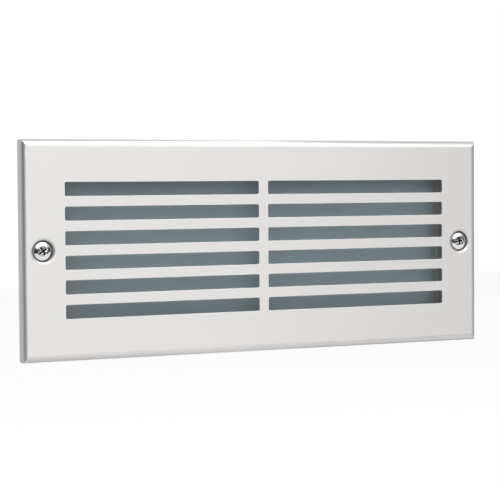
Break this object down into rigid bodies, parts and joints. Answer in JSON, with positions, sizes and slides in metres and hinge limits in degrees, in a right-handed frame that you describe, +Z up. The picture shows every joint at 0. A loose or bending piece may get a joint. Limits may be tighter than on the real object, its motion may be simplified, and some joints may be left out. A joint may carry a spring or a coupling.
{
  "type": "recessed step light",
  "caption": "Wall-recessed step light: louvred steel faceplate with frosted glass over a cast box that holds a lamp, reflector and wiring.",
  "frame": {"origin": "middle of the wall plane, where the rear edge of the faceplate's rim bears on the wall", "axes": "+X to the viewer's right, +Y into the wall, +Z up"},
  "size_m": [0.24, 0.087, 0.1],
  "materials": {
    "faceplate_steel": "fine brushed stainless steel",
    "polished_steel": "polished stainless steel",
    "washer_nylon": "moulded nylon",
    "foam": "closed-cell foam",
    "frosted_glass": "sand-blasted pressed glass",
    "gasket_silicone": "moulded silicone rubber",
    "cast_aluminium": "powder-coated die casting",
    "reflector_aluminium": "bright rolled aluminium",
    "zinc_steel": "zinc-plated steel",
    "porcelain": "glazed porcelain",
    "brass": "plain brass",
    "nickel": "nickel-plated brass",
    "opal": "opal diffuser",
    "lamp_plastic": "white moulded plastic",
    "black_insulator": "black glass insulator",
    "solder": "soldered tip",
    "board_white": "white coated board",
    "led_phosphor": "phosphor window",
    "circuit_board": "coated circuit board",
    "terminal_plastic": "natural polyamide",
    "brown_insulation": "brown wire insulation",
    "blue_insulation": "blue wire insulation",
    "earth_insulation": "green and yellow wire insulation",
    "copper": "bare copper",
    "black_rubber": "moulded rubber"
  },
  "bodies": {
    "housing": {"back_box": "cast_aluminium", "reflector": "reflector_aluminium", "reflector_screws": "zinc_steel", "lampholder_bracket": "zinc_steel", "bracket_screws": "zinc_steel", "lampholder_fixing_screws": "zinc_steel", "lampholder_body": "porcelain", "lampholder_shell": "brass", "lampholder_contact": "brass", "lampholder_terminals": "brass", "lampholder_terminal_screws": "zinc_steel", "terminal_block": "terminal_plastic", "terminal_inserts": "brass", "terminal_screws": "zinc_steel", "terminal_block_screws": "zinc_steel", "earth_tag": "solder", "earth_screw": "brass", "wire_live": "brown_insulation", "wire_neutral": "blue_insulation", "wire_earth": "earth_insulation", "conductor_ends": "copper", "cable_grommet": "black_rubber", "blanking_plug": "black_rubber"},
    "faceplate": {"faceplate": "faceplate_steel", "pressure_strips": "foam"},
    "washer_left": {"sealing_washer_left": "washer_nylon"},
    "screw_left": {"faceplate_screw_left": "polished_steel"},
    "washer_right": {"sealing_washer_right": "washer_nylon"},
    "screw_right": {"faceplate_screw_right": "polished_steel"},
    "glass": {"diffuser_glass": "frosted_glass", "glass_gasket": "gasket_silicone"},
    "lamp_tip": {"lamp_contact": "solder"},
    "lamp": {"lamp_globe": "opal", "lamp_housing": "lamp_plastic", "lamp_cap": "nickel", "lamp_insulator": "black_insulator", "lamp_led_board": "board_white", "lamp_leds": "led_phosphor", "lamp_driver": "circuit_board"}
  },
  "joints": [
    {"name": "faceplate_lift_off", "type": "slide", "parent": "housing", "child": "faceplate", "axis": [0, -1, 0], "range_m": [0, 0.12]},
    {"name": "glass_lift_off", "type": "slide", "parent": "housing", "child": "glass", "axis": [0, -1, 0], "range_m": [0, 0.0605]},
    {"name": "screw_left_travel", "type": "slide", "parent": "faceplate", "child": "washer_left", "axis": [0, -1, 0], "range_m": [0, 0.0114]},
    {"name": "screw_left_turn", "type": "hinge", "parent": "washer_left", "child": "screw_left", "pos_m": [-0.11, 0, 0], "axis": [0, -1, 0], "range_deg": [0, 5490]},
    {"name": "screw_right_travel", "type": "slide", "parent": "faceplate", "child": "washer_right", "axis": [0, -1, 0], "range_m": [0, 0.0114]},
    {"name": "screw_right_turn", "type": "hinge", "parent": "washer_right", "child": "screw_right", "pos_m": [0.11, 0, 0], "axis": [0, -1, 0], "range_deg": [0, 5490]},
    {"name": "lamp_travel", "type": "slide", "parent": "housing", "child": "lamp_tip", "axis": [1, 0, 0], "range_m": [0, 0.0146]},
    {"name": "lamp_turn", "type": "hinge", "parent": "lamp_tip", "child": "lamp", "pos_m": [0, 0.037, 0], "axis": [1, 0, 0], "range_deg": [0, 1440]}
  ],
  "couplings": [
    {"joint": "glass_lift_off", "follows": "faceplate_lift_off", "ratio": 0.5},
    {"joint": "screw_left_turn", "follows": "screw_left_travel", "rad_per_m": 7854},
    {"joint": "screw_right_turn", "follows": "screw_right_travel", "rad_per_m": 7854},
    {"joint": "lamp_travel", "follows": "lamp_turn", "m_per_rad": 0.00057773}
  ]
}
